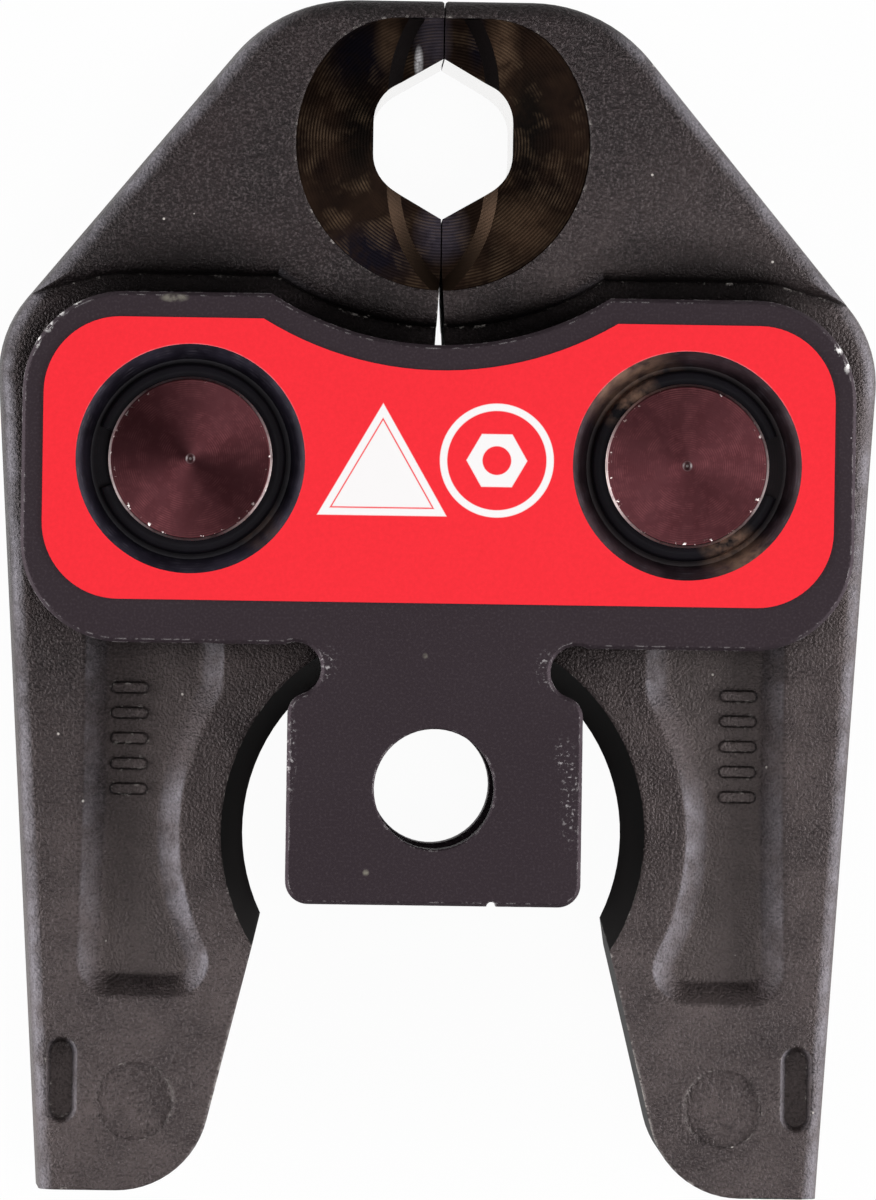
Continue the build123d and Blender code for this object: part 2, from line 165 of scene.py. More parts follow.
def softbox(name, place, size, watts):
    """A rectangular softbox, in metres from the jaw's middle and aimed at it."""
    lamp_data = bpy.data.lights.new(name, "AREA")
    lamp_data.shape = "RECTANGLE"
    lamp_data.size, lamp_data.size_y = size
    lamp_data.energy = watts
    lamp = bpy.data.objects.new(name, lamp_data)
    lamp.location = jaw_middle + Vector(place)
    lamp.rotation_euler = (jaw_middle - lamp.location).to_track_quat("-Z", "Y").to_euler()
    bpy.context.scene.collection.objects.link(lamp)
    print(name, "is", round(Vector(place).length, 2), "m away, at", watts, "W")


softbox("main_box", (0.13, -0.12, 0.94), (0.24, 0.24), 2.1)
softbox("left_box", (-1.0, -0.05, 0.24), (1.2, 0.3), 13.5)
softbox("right_box", (1.0, -0.05, 0.24), (1.2, 0.3), 14.5)

# %% [markdown]
# The tent itself is the world. Its brightness depends only on how far a direction leans to the left or
# the right, so one smooth step from dim to bright along X is all it takes.

# %% Light tent
tent = bpy.data.worlds.new("light_tent")
bpy.context.scene.world = tent
tent.use_nodes = True
tree = tent.node_tree
tree.nodes.clear()
way = node(tree, "TexCoord")
sight = node(tree, "SeparateXYZ", None, {0: way.outputs["Generated"]})
sideways = node(tree, "Math", {"operation": "ABSOLUTE"}, {0: sight.outputs["X"]})
level = node(tree, "MapRange", {"interpolation_type": "SMOOTHSTEP"}, {
    0: sideways.outputs[0], 1: 0.3, 2: 0.9, 3: 0.1, 4: 0.9,
})
background = node(tree, "Background", None, {"Color": paint("#ffffff"), "Strength": level.outputs[0]})
node(tree, "OutputWorld", None, {"Surface": background.outputs[0]})
bpy.context.scene.view_settings.view_transform = "Standard"
print("tent nodes:", len(tree.nodes))

# %% [markdown]
# Every pattern below is measured in millimetres on the piece at rest, so one function starts a
# material with its own coordinates scaled to millimetres. They belong to the piece and move with it.
# Another function puts the finished surface on the material.

# %% Start and seal a finish
def start_finish(name):
    """A new material's tree, and its coordinates in millimetres."""
    material = bpy.data.materials.new(name)
    material.use_nodes = True
    tree = material.node_tree
    tree.nodes.clear()
    place = node(tree, "TexCoord")
    in_mm = node(tree, "VectorMath", {"operation": "SCALE"}, {0: place.outputs["Object"], "Scale": 1 / mm})
    return material, tree, in_mm.outputs[0]


def seal(material, coat):
    """Puts the finished surface on a material, and says how many nodes it took."""
    tree = material.node_tree
    node(tree, "OutputMaterial", None, {"Surface": coat.outputs[0]})
    print(material.name, "has", len(tree.nodes), "nodes")


print("one unit of every pattern is", mm, "m on the piece")

# %% [markdown]
# A mask says where a colour goes: 0 is nowhere and 1 is everywhere. Three small functions are enough
# to combine colours and masks: a colour between two, the strongest of several masks, and one mask
# inside another.

# %% Combine colours and masks
def blend(tree, factor, first, second):
    """A colour between two, each a hex colour or a node's output."""
    ends = [paint(end) if isinstance(end, str) else end for end in (first, second)]
    return node(tree, "Mix", {"data_type": "RGBA"}, {0: factor, 6: ends[0], 7: ends[1]}).outputs[2]


def strongest(tree, masks):
    """The largest of several masks."""
    top = masks[0]
    for mask in masks[1:]:
        top = node(tree, "Math", {"operation": "MAXIMUM"}, {0: top, 1: mask}).outputs[0]
    return top


def both(tree, one, other):
    """One mask inside another."""
    return node(tree, "Math", {"operation": "MULTIPLY"}, {0: one, 1: other}).outputs[0]


print("one half mask inside another leaves", 0.5 * 0.5)

# %% [markdown]
# Wear is found with four patterns. Edges show up by comparing the true normal with one rounded over by
# a small radius: the two differ only near an edge. Specks are the middles of scattered cells. A spot
# is a soft ellipse round a place on the plan, for wear that sits somewhere in particular, and a patchy
# mask breaks it up, because real wear has no smooth outline.

# %% Edges, specks, spots and patches
machined_round = 0.3


def soft_edges(tree, radius, starts=0.985, full=0.9):
    """The normal rounded over by a radius in mm, and a mask that is 1 on the edges."""
    rounded = node(tree, "Bevel", {"samples": 6}, {"Radius": radius * mm})
    sharp = node(tree, "NewGeometry")
    likeness = node(tree, "VectorMath", {"operation": "DOT_PRODUCT"}, {
        0: rounded.outputs[0], 1: sharp.outputs["Normal"],
    })
    mask = node(tree, "MapRange", None, {0: likeness.outputs["Value"], 1: starts, 2: full, 3: 0.0, 4: 1.0})
    return rounded.outputs[0], mask.outputs[0]


def specks(tree, at, pitch, radius, share):
    """A mask of small spots: a share of the cells of this pitch have one, all in mm."""
    cells = node(tree, "TexVoronoi", None, {"Vector": at, "Scale": 1 / pitch})
    near = node(tree, "Math", {"operation": "LESS_THAN"}, {0: cells.outputs["Distance"], 1: radius / pitch})
    lot = node(tree, "SeparateColor", None, {0: cells.outputs["Color"]})
    lot_or_wall_highlight = node(tree, "Math", {"operation": "LESS_THAN"}, {0: lot.outputs[0], 1: share})
    return both(tree, near.outputs[0], lot_or_wall_highlight.outputs[0])


def spot(tree, at, centre, half_size):
    """A soft ellipse on the plan: 1 in its middle, 0 from its rim on, in mm."""
    shrink = (1 / half_size[0], 1 / half_size[1], 0)
    off = node(tree, "VectorMath", {"operation": "SUBTRACT"}, {0: at, 1: (*centre, 0)})
    shrunk = node(tree, "VectorMath", {"operation": "MULTIPLY"}, {0: off.outputs[0], 1: shrink})
    away = node(tree, "VectorMath", {"operation": "LENGTH"}, {0: shrunk.outputs[0]})
    soft = node(tree, "MapRange", None, {0: away.outputs["Value"], 1: 1.0, 2: 0.35, 3: 0.0, 4: 1.0})
    return soft.outputs[0]


def patchy(tree, at, pitch, low, high):
    """A ragged mask from noise: nothing below one level and all above the other."""
    noise = node(tree, "TexNoise", None, {"Vector": at, "Scale": 1 / pitch, "Detail": 3.0, "Roughness": 0.65})
    return node(tree, "MapRange", None, {0: noise.outputs[0], 1: low, 2: high, 3: 0.0, 4: 1.0}).outputs[0]


print("machined edges are rounded over by", machined_round, "mm")

# %% [markdown]
# The arms are drop forgings: hammered in a die, shot blasted and given a dark phosphate coat that
# holds oil. Blasting leaves a grain of a third of a millimetre, and the coat mottles between brown
# and grey over several millimetres. Painted light keeps the head dark and makes the legs paler, on
# the right sooner than on the left. The tops of the grain are paler and its pits are black,
# so one noise colours the coat here and raises it further down.

# %% Phosphated forging: coat and grain
parting_level = 16.5
mottle_pitch, swell_pitch, grain_pitch = 9.0, 3.5, 0.34
painted_dark_level, painted_light_level, painted_light_tilt = 70.0, 10.0, -0.8
forged, tree, at = start_finish("phosphated_forging")
mottle = node(tree, "TexNoise", None, {
    "Vector": at, "Scale": 1 / mottle_pitch, "Detail": 5.0, "Roughness": 0.6,
})
grain = node(tree, "TexNoise", None, {
    "Vector": at, "Scale": 1 / grain_pitch, "Detail": 2.0, "Roughness": 0.6,
})
swell = node(tree, "TexNoise", None, {"Vector": at, "Scale": 1 / swell_pitch, "Detail": 2.0})
place = node(tree, "SeparateXYZ", None, {0: at})
# Painted light: a gradient from a dark head to paler legs, tilted so that the right side pales sooner.
along_painted_light = node(tree, "Math", {"operation": "MULTIPLY_ADD"}, {
    0: place.outputs["X"], 1: painted_light_tilt, 2: place.outputs["Y"],
})
painted_leg_light = node(tree, "MapRange", None, {0: along_painted_light.outputs[0], 1: painted_dark_level, 2: painted_light_level, 3: 0.0, 4: 1.0})
blotch = node(tree, "MapRange", None, {0: mottle.outputs[0], 1: 0.32, 2: 0.68})
painted_dark_head_tone = blend(tree, blotch.outputs[0], "#080506", "#1c1314")
painted_light_leg_tone = blend(tree, blotch.outputs[0], "#1f1818", "#4c4342")
tone = blend(tree, painted_leg_light.outputs[0], painted_dark_head_tone, painted_light_leg_tone)
grit = node(tree, "MapRange", None, {0: grain.outputs[0], 1: 0.5, 2: 0.72, 3: 0.0, 4: 0.55})
tone = blend(tree, grit.outputs[0], tone, "#5c5354")
pits = node(tree, "MapRange", None, {0: grain.outputs[0], 1: 0.46, 2: 0.32, 3: 0.0, 4: 0.7})
tone = blend(tree, pits.outputs[0], tone, "#080606")
print("coat and grain take", len(tree.nodes), "nodes")

# %% [markdown]
# The level floors of the leg pockets are painted paler: painted light that lifts the shadow of the low
# side lamps, where the legs are painted light. A floor is found by its height, about eight millimetres
# from the parting plane, and by its normal, which points straight up or down. Heights and normals here
# are the piece's own, so they move with the arm.

# %% Phosphated forging: painted light on the floors
floor_low, floor_high = (7.2, 7.7), (8.3, 9.6)
floor_light_share = 0.2
lean = node(tree, "TexCoord")
lean = node(tree, "SeparateXYZ", None, {0: lean.outputs["Normal"]})
lift = node(tree, "Math", {"operation": "SUBTRACT"}, {0: place.outputs["Z"], 1: parting_level})
lift = node(tree, "Math", {"operation": "ABSOLUTE"}, {0: lift.outputs[0]})
below_seat = node(tree, "MapRange", None, {
    0: lift.outputs[0], 1: floor_high[1], 2: floor_high[0], 3: 0.0, 4: floor_light_share,
})
above_side = node(tree, "MapRange", None, {0: lift.outputs[0], 1: floor_low[0], 2: floor_low[1]})
level = node(tree, "Math", {"operation": "ABSOLUTE"}, {0: lean.outputs["Z"]})
level = node(tree, "MapRange", None, {0: level.outputs[0], 1: 0.85, 2: 0.97})
# Painted light on the pocket floors.
painted_floor_light = both(tree, both(tree, below_seat.outputs[0], above_side.outputs[0]), level.outputs[0])
tone = blend(tree, both(tree, painted_floor_light, painted_leg_light.outputs[0]), tone, "#8a807e")
print("dust adds up to", len(tree.nodes), "nodes")

# %% [markdown]
# Walls that look sideways get a painted highlight for the low side lamps, stronger where they face
# away from the middle of the jaw and lie high. On the inner side of each pocket the painted highlight
# breaks off for a few millimetres, a painted shadow. The swell and the grain break it up further.

# %% Phosphated forging: painted highlight on the walls
gap_y, gap_inner, gap_outer = 6.0, 2.5, 8.0
inner_side, outer_side = 36.0, 42.0
# Painted highlight on the walls that face the side lamps.
outward = node(tree, "Math", {"operation": "ABSOLUTE"}, {0: lean.outputs["X"]})
lot_or_wall_highlight = node(tree, "MapRange", None, {0: outward.outputs[0], 1: 0.25, 2: 0.75, 3: 0.0, 4: 0.95})
upward = node(tree, "MapRange", None, {0: lean.outputs["Z"], 1: 0.1, 2: 0.7})
lot_or_wall_highlight = both(tree, lot_or_wall_highlight.outputs[0], upward.outputs[0])
facing = node(tree, "Math", {"operation": "MULTIPLY"}, {0: lean.outputs["X"], 1: place.outputs["X"]})
facing = node(tree, "MapRange", None, {0: facing.outputs[0], 1: -6.0, 2: 6.0, 3: 0.45, 4: 1.0})
lot_or_wall_highlight = both(tree, lot_or_wall_highlight, facing.outputs[0])
high = node(tree, "MapRange", None, {0: lift.outputs[0], 1: 8.1, 2: 10.2, 3: 0.35, 4: 1.0})
lot_or_wall_highlight = both(tree, lot_or_wall_highlight, high.outputs[0])
aside = node(tree, "Math", {"operation": "ABSOLUTE"}, {0: place.outputs["X"]})
# Painted shadow: the highlight breaks off on the inner side of each pocket.
gap = node(tree, "Math", {"operation": "SUBTRACT"}, {0: place.outputs["Y"], 1: gap_y})
gap = node(tree, "Math", {"operation": "ABSOLUTE"}, {0: gap.outputs[0]})
gap = node(tree, "MapRange", None, {0: gap.outputs[0], 1: gap_inner, 2: gap_outer, 3: 0.1, 4: 1.0})
highlight_break = node(tree, "MapRange", None, {
    0: aside.outputs[0], 1: inner_side, 2: outer_side, 3: gap.outputs[0], 4: 1.0,
})
lot_or_wall_highlight = both(tree, lot_or_wall_highlight, highlight_break.outputs[0])
uneven = node(tree, "MapRange", None, {0: swell.outputs[0], 1: 0.35, 2: 0.6, 3: 0.3})
lot_or_wall_highlight = both(tree, lot_or_wall_highlight, uneven.outputs[0])
grainy = node(tree, "MapRange", None, {0: grain.outputs[0], 1: 0.3, 2: 0.6, 3: 0.5})
lot_or_wall_highlight = both(tree, lot_or_wall_highlight, grainy.outputs[0])
tone = blend(tree, lot_or_wall_highlight, tone, "#88858d")
print("drawn walls add up to", len(tree.nodes), "nodes")

# %% [markdown]
# Painted shade darkens the walls that lie across the jaw, the band above the step behind the plates,
# where the plates cast their shadow, and the corners, which the ambient occlusion finds. The painted
# shade fades towards the outer sides and the feet.

# %% Phosphated forging: painted shade
corner_reach = 6.0
shade_fade_side, shade_fade_feet = (38.0, 47.0), (-27.0, -22.0)
step_shadows = [((side * x, y), size) for side in (-1, 1) for x, y, size in (
    (31.0, 59.5, (17.0, 7.5)), (10.0, 54.5, (13.0, 6.5)),
)]
# Painted shade on walls facing along the jaw, in the corners and above the step.
lengthwise = node(tree, "Math", {"operation": "ABSOLUTE"}, {0: lean.outputs["Y"]})
lengthwise = node(tree, "Math", {"operation": "SUBTRACT"}, {0: lengthwise.outputs[0], 1: outward.outputs[0]})
across = node(tree, "MapRange", None, {0: lengthwise.outputs[0], 1: 0.05, 2: 0.8, 3: 0.0, 4: 0.65})
open_share = node(tree, "AmbientOcclusion", {"samples": 4}, {"Distance": corner_reach * mm})
cavity = node(tree, "MapRange", None, {0: open_share.outputs["AO"], 1: 0.6, 2: 0.25, 3: 0.0, 4: 1.0})
above_step = strongest(tree, [spot(tree, at, *painted_shadow) for painted_shadow in step_shadows])
painted_shade = strongest(tree, [across.outputs[0], cavity.outputs[0], both(tree, above_step, 0.85)])
inboard = node(tree, "MapRange", None, {
    0: aside.outputs[0], 1: shade_fade_side[0], 2: shade_fade_side[1], 3: 1.0, 4: 0.4,
})
above_feet = node(tree, "MapRange", None, {
    0: place.outputs["Y"], 1: shade_fade_feet[0], 2: shade_fade_feet[1], 3: 0.4, 4: 1.0,
})
painted_shade = both(tree, both(tree, painted_shade, inboard.outputs[0]), above_feet.outputs[0])
tone = blend(tree, painted_shade, tone, "#050404")
print("soot adds up to", len(tree.nodes), "nodes")

# %% [markdown]
# Handling rubs the coat off the sharp edges in short bright flecks, more of them where the rollers
# leave the legs, and knocks specks out of it. The grain is a bump, because light from the side has to
# catch each grain, and a longer, shallow bump is the unevenness of the die. The coat tints what it
# mirrors a little towards brown, and under the painted shade it hardly mirrors anything.

# %% Phosphated forging: wear and surface
edge_round, swell_height, grain_height = 0.8, 0.5, 0.4
leg_ends = [((side * 27.0, -33.0), (6.0, 15.0)) for side in (-1, 1)]
rounded, edge = soft_edges(tree, edge_round, 0.94, 0.8)
rubbed = both(tree, edge, patchy(tree, at, 1.1, 0.58, 0.68))
cam_wear = both(tree, strongest(tree, [spot(tree, at, *end) for end in leg_ends]), edge)
cam_wear = both(tree, cam_wear, patchy(tree, at, 0.8, 0.45, 0.52))
bare = strongest(tree, [rubbed, cam_wear, specks(tree, at, 3.0, 0.16, 0.25)])
tone = blend(tree, bare, tone, "#b9b3ae")
dull = node(tree, "MapRange", None, {0: mottle.outputs[0], 1: 0.3, 2: 0.7, 3: 0.42, 4: 0.54})
# The painted light on the legs also raises their shine.
gloss = node(tree, "MapRange", None, {0: painted_leg_light.outputs[0], 3: 0.33, 4: 0.5})
# The painted shade also takes the shine away.
shine = node(tree, "MapRange", None, {0: painted_shade, 3: gloss.outputs[0], 4: 0.1})
bumps = node(tree, "Bump", None, {
    "Strength": 0.7, "Distance": swell_height * mm, "Height": swell.outputs[0], "Normal": rounded,
})
bumps = node(tree, "Bump", None, {
    "Strength": 0.9, "Distance": grain_height * mm, "Height": grain.outputs[0], "Normal": bumps.outputs[0],
})
seal(forged, node(tree, "BsdfPrincipled", None, {
    "Base Color": tone, "Roughness": dull.outputs[0], "Specular IOR Level": shine.outputs[0],
    "Specular Tint": paint("#fff0f1"), "Normal": bumps.outputs[0], "IOR": 1.5,
}))

# %% [markdown]
# The cut-out, the cam slopes and the parting faces are milled after forging and then blackened in a
# hot salt bath. Fresh black oxide is deep and nearly matt, which is why these walls close in to black
# beside the white table. The cutter's streaks run along the walls, so the noise that makes them is
# squeezed eight times in height.

# %% Milled and blackened steel
cloud_pitch, streak_pitch, streak_depth = 4.0, 1.6, 0.03
along_walls = (1.0, 1.0, 8.0)
milled, tree, at = start_finish("milled_black_oxide")
rounded, edge = soft_edges(tree, machined_round)
cloud = node(tree, "TexNoise", None, {"Vector": at, "Scale": 1 / cloud_pitch, "Detail": 3.0})
streaks = node(tree, "VectorMath", {"operation": "MULTIPLY"}, {0: at, 1: along_walls})
streaks = node(tree, "TexNoise", None, {
    "Vector": streaks.outputs[0], "Scale": 1 / streak_pitch, "Detail": 2.0,
})
tone = blend(tree, cloud.outputs[0], "#060404", "#100c0c")
rubbed = both(tree, edge, patchy(tree, at, 1.3, 0.55, 0.62))
tone = blend(tree, rubbed, tone, "#a9a39e")
bumps = node(tree, "Bump", None, {
    "Strength": 0.3, "Distance": streak_depth * mm, "Height": streaks.outputs[0], "Normal": rounded,
})
seal(milled, node(tree, "BsdfPrincipled", None, {
    "Base Color": tone, "Roughness": 0.62, "Specular IOR Level": 0.12, "Normal": bumps.outputs[0],
    "IOR": 1.45,
}))

# %% [markdown]
# The hexagon is what presses the fitting, so its walls are ground and polished and kept bare. They
# mirror the white table and nearly vanish against it. Grinding runs round the mouth, so the scratches
# are stretched that way and dull the mirror only a little.

# %% Polished press profile
scratch_depth = 0.005
round_mouth = (0.3, 0.3, 12.0)
polished, tree, at = start_finish("polished_press_profile")
scratches = node(tree, "VectorMath", {"operation": "MULTIPLY"}, {0: at, 1: round_mouth})
scratches = node(tree, "TexNoise", None, {"Vector": scratches.outputs[0], "Scale": 1.0, "Detail": 3.0})
tone = blend(tree, scratches.outputs[0], "#e2e0de", "#f4f3f2")
dull = node(tree, "MapRange", None, {0: scratches.outputs[0], 3: 0.1, 4: 0.22})
bumps = node(tree, "Bump", None, {
    "Strength": 0.1, "Distance": scratch_depth * mm, "Height": scratches.outputs[0],
})
seal(polished, node(tree, "BsdfPrincipled", None, {
    "Base Color": tone, "Metallic": 1.0, "Roughness": dull.outputs[0], "Normal": bumps.outputs[0],
}))

# %% [markdown]
# The side plates are cut from ground plate and blackened by the same bath, so they are smoother than
# the forgings: an even charcoal with a faint cloud, and a shine that the film tints violet. The press
# tool's bracket rubs the stem, which leaves bright crumbs along both of its sides and in the reliefs
# at its neck. Knocks chip the corners, and one greasy smear lies on the upper edge. Each of these sits
# somewhere in particular, so each is a spot on the plan that lets a ragged pattern through. A spot
# alone would also run down the walls under it, so a mask of height keeps it to the outer face.

# %% Ground and blackened plate
def plate_finish(name, wear, knocks, smears):
    """Black oxide on ground plate: crumbs, bare knocks and pale smears inside the given spots."""
    cloud_pitch, fine_pitch, fine_depth = 12.0, 0.3, 0.03
    under_face, near_face = 15.7, 16.1
    plate, tree, at = start_finish(name)
    rounded, edge = soft_edges(tree, machined_round)
    cloud = node(tree, "TexNoise", None, {
        "Vector": at, "Scale": 1 / cloud_pitch, "Detail": 6.0, "Roughness": 0.62,
    })
    fine = node(tree, "TexNoise", None, {"Vector": at, "Scale": 1 / fine_pitch, "Detail": 2.0})
    tone = blend(tree, cloud.outputs[0], "#0e080c", "#181015")
    grit = node(tree, "MapRange", None, {0: fine.outputs[0], 1: 0.5, 2: 0.8, 3: 0.0, 4: 0.2})
    tone = blend(tree, grit.outputs[0], tone, "#5c5458")
    lift = node(tree, "SeparateXYZ", None, {0: at})
    lift = node(tree, "Math", {"operation": "SUBTRACT"}, {0: lift.outputs["Z"], 1: parting_level})
    lift = node(tree, "Math", {"operation": "ABSOLUTE"}, {0: lift.outputs[0]})
    outer_face = node(tree, "MapRange", None, {0: lift.outputs[0], 1: under_face, 2: near_face}).outputs[0]

    def in_spots(places):
        return both(tree, strongest(tree, [spot(tree, at, *place) for place in places]), outer_face)

    crumbs = both(tree, in_spots(wear), patchy(tree, at, 0.5, 0.56, 0.66))
    chips = both(tree, edge, patchy(tree, at, 1.2, 0.52, 0.6))
    bare = strongest(tree, [crumbs, chips, specks(tree, at, 4.0, 0.15, 0.25)])
    tone = blend(tree, bare, tone, "#9a9697")
    if knocks:
        ragged = strongest(tree, [edge, patchy(tree, at, 0.9, 0.5, 0.54)])
        tone = blend(tree, both(tree, in_spots(knocks), ragged), tone, "#efecea")
    if smears:
        ragged = patchy(tree, at, 1.4, 0.3, 0.7)
        tone = blend(tree, both(tree, in_spots(smears), ragged), tone, "#8d8a7c")
    dull = node(tree, "MapRange", None, {0: cloud.outputs[0], 1: 0.3, 2: 0.7, 3: 0.6, 4: 0.7})
    bumps = node(tree, "Bump", None, {
        "Strength": 0.4, "Distance": fine_depth * mm, "Height": fine.outputs[0], "Normal": rounded,
    })
    seal(plate, node(tree, "BsdfPrincipled", None, {
        "Base Color": tone, "Roughness": dull.outputs[0], "Normal": bumps.outputs[0], "IOR": 1.5,
        "Specular Tint": paint("#ffe4f3"),
    }))
    return plate


stem_wear = [
    ((-17.1, 4.5), (1.0, 7.0)), ((16.0, -0.5), (1.3, 7.0)), ((15.2, 4.0), (1.3, 2.8)),
    ((-12.9, 14.6), (1.6, 2.4)), ((13.0, 14.4), (1.6, 2.4)),
]
corner_knocks = [
    ((-46.2, 54.0), (0.7, 1.0)), ((-45.0, 55.5), (0.8, 0.6)), ((-47.4, 52.2), (0.5, 1.1)),
    ((-43.3, 56.7), (1.1, 0.4)), ((46.9, 52.6), (0.6, 1.0)), ((47.9, 51.0), (0.5, 1.5)),
]
upper_smears = [((-31.4, 57.4), (1.9, 0.6)), ((-7.9, -9.9), (0.45, 0.45)), ((-1.3, 15.7), (0.4, 0.4))]
front_steel = plate_finish("ground_black_plate_front", stem_wear, corner_knocks, upper_smears)
rear_steel = plate_finish("ground_black_plate_rear", stem_wear, [], [])

# %% [markdown]
# A turning tool leaves fine rings. They could be drawn as an image, but a sine of the distance from
# the turning axis gives them at any scale, so one function measures that distance and another makes
# the waves. Each turned face has its own feed, the distance from one ring to the next.

# %% Turned rings
dish_feed, pin_feed, mouth_feed = 0.3, 0.26, 0.37


def from_axis(tree, at, centre):
    """Distance on the plan from an upright axis, in mm."""
    on_plan = (1, 1, 0)
    off = node(tree, "VectorMath", {"operation": "SUBTRACT"}, {0: at, 1: (*centre, 0)})
    flat = node(tree, "VectorMath", {"operation": "MULTIPLY"}, {0: off.outputs[0], 1: on_plan})
    return node(tree, "VectorMath", {"operation": "LENGTH"}, {0: flat.outputs[0]}).outputs["Value"]


def feed_marks(tree, radius, pitch):
    """Waves from 0 to 1 with this pitch in mm, along a distance from the turning axis."""
    angle = node(tree, "Math", {"operation": "MULTIPLY"}, {0: radius, 1: 2 * math.pi / pitch})
    wave = node(tree, "Math", {"operation": "SINE"}, {0: angle.outputs[0]})
    return node(tree, "MapRange", None, {0: wave.outputs[0], 1: -1.0, 2: 1.0}).outputs[0]


print("feeds of dishes, pins and mouth in mm:", dish_feed, pin_feed, mouth_feed)

# %% [markdown]
# The dishes round the pins are turned after the plate is ground, and go through the same black bath,
# over the heat tints of the cutting: blue-violet on the left, plum-brown on the right. The coat is thin
# and even, so the dish is a dark satin with faint feed marks, and needs no metal shine. Tan painted
# highlights lie where the turned rings catch the lamp: upper left and lower right in the right dish,
# faintly lower right in the left one. The floor round the pin is painted dark as the shade of pin and wall.

# %% Turned and tempered dish
def dish_finish(name, centre, tones, painted_glints):
    """A turned dish between two tones, with tan painted highlights inside the given spots and a floor in
    painted shade.
    """
    feed_depth = 0.02
    floor_rim, floor_full = 12.2, 11.4
    dish, tree, at = start_finish(name)
    radius = from_axis(tree, at, centre)
    marks = feed_marks(tree, radius, dish_feed)
    tone = blend(tree, patchy(tree, at, 5.0, 0.35, 0.65), *tones)
    scuffs = both(tree, marks, patchy(tree, at, 1.5, 0.5, 0.75))
    tone = blend(tree, both(tree, scuffs, 0.3), tone, "#6f6a74")
    # Painted shade: the floor next to the pin is darker and mirrors less.
    floor = node(tree, "MapRange", None, {0: radius, 1: floor_rim, 2: floor_full, 3: 0.0, 4: 0.8})
    tone = blend(tree, floor.outputs[0], tone, "#0e0a0f")
    # Each spot is a tan painted highlight.
    for middle, half_size, share in painted_glints:
        glint = both(tree, spot(tree, at, middle, half_size), patchy(tree, at, 2.0, 0.3, 0.6))
        tone = blend(tree, both(tree, glint, share), tone, "#7a5f50")
    bumps = node(tree, "Bump", None, {"Strength": 0.3, "Distance": feed_depth * mm, "Height": marks})
    dull = node(tree, "MapRange", None, {0: floor.outputs[0], 3: 0.42, 4: 0.7})
    shine = node(tree, "MapRange", None, {0: floor.outputs[0], 3: 0.5, 4: 0.1})
    seal(dish, node(tree, "BsdfPrincipled", None, {
        "Base Color": tone, "Roughness": dull.outputs[0], "Specular IOR Level": shine.outputs[0],
        "Normal": bumps.outputs[0], "IOR": 1.5,
    }))
    return dish


pin_x, pin_y = 29.25, 38.5
left_dish = dish_finish("turned_blued_dish_left", (-pin_x, pin_y), ("#17131d", "#2b2733"), [
    ((-pin_x + 8.0, pin_y - 7.5), (3.5, 3.5), 0.3),
])
right_dish = dish_finish("turned_dish_right_with_painted_glints", (pin_x, pin_y), ("#20151a", "#3c2c31"), [
    ((pin_x - 7.2, pin_y + 9.6), (7.5, 6.0), 0.9),
    ((pin_x + 6.0, pin_y - 10.0), (5.0, 3.6), 0.9),
])

# %% [markdown]
# The pins are turned steel with a warm brown oxide. Their ends show the feed marks of the facing cut,
# which smear every lamp into a streak through the centre: that is anisotropy, with its direction
# taken round the pin's own axis. The chamfer at the rim is rubbed bright, and a painted highlight makes
# it and the chips beside it brightest on the low side, towards the main lamp. Pale dust sits in the
# centre mark. One material serves both pins, because the place on the plan is folded over to the right
# side before its distance from the axis is taken.

# %% Turned pin
cloud_pitch, feed_depth = 3.0, 0.012
rim_start, rim_full = 9.36, 9.46
chips_start, chips_full = 8.9, 9.1
lint_edge, lint_full = 0.2, 0.12
pip_edge, pip_clear = 0.55, 0.65
pin, tree, at = start_finish("turned_brown_pin")
place = node(tree, "SeparateXYZ", None, {0: at})
aside = node(tree, "Math", {"operation": "ABSOLUTE"}, {0: place.outputs["X"]})
folded = node(tree, "CombineXYZ", None, {
    0: aside.outputs[0], 1: place.outputs["Y"], 2: place.outputs["Z"],
})
radius = from_axis(tree, folded.outputs[0], (pin_x, pin_y))
marks = feed_marks(tree, radius, pin_feed)
cloud = node(tree, "TexNoise", None, {
    "Vector": at, "Scale": 1 / cloud_pitch, "Detail": 5.0, "Roughness": 0.65,
})
tone = blend(tree, cloud.outputs[0], "#371a1d", "#46282b")
fine = blend(tree, both(tree, marks, patchy(tree, at, 1.4, 0.45, 0.9)), tone, "#63393c")
# Painted highlight: the rim and its chips are brighter towards the low side.
painted_light_low_side = node(tree, "MapRange", None, {
    0: place.outputs["Y"], 1: pin_y + 3.0, 2: pin_y - 4.0, 3: 0.4, 4: 1.0,
})
rim = node(tree, "MapRange", None, {0: radius, 1: rim_start, 2: rim_full, 3: 0.0, 4: 1.0})
rim = both(tree, rim.outputs[0], patchy(tree, at, 2.5, 0.2, 0.5))
rim = both(tree, rim, painted_light_low_side.outputs[0])
near_rim = node(tree, "MapRange", None, {0: radius, 1: chips_start, 2: chips_full})
chips = both(tree, patchy(tree, at, 0.8, 0.62, 0.64), painted_light_low_side.outputs[0])
chips = both(tree, chips, near_rim.outputs[0])
lint = node(tree, "MapRange", None, {0: radius, 1: lint_edge, 2: lint_full, 3: 0.0, 4: 0.5})
bare = strongest(tree, [rim, chips, specks(tree, at, 2.2, 0.08, 0.2), lint.outputs[0]])
tone = blend(tree, bare, fine, "#d9cfcd")
bumps = node(tree, "Bump", None, {"Strength": 0.25, "Distance": feed_depth * mm, "Height": marks})
round_pin = node(tree, "Tangent", {"direction_type": "RADIAL", "axis": "Z"})
pip = node(tree, "MapRange", None, {0: radius, 1: pip_edge, 2: pip_clear})
seal(pin, node(tree, "BsdfPrincipled", None, {
    "Base Color": tone, "Metallic": pip.outputs[0], "Roughness": 0.34, "Anisotropic": 0.85,
    "Tangent": round_pin.outputs[0], "Normal": bumps.outputs[0],
}))

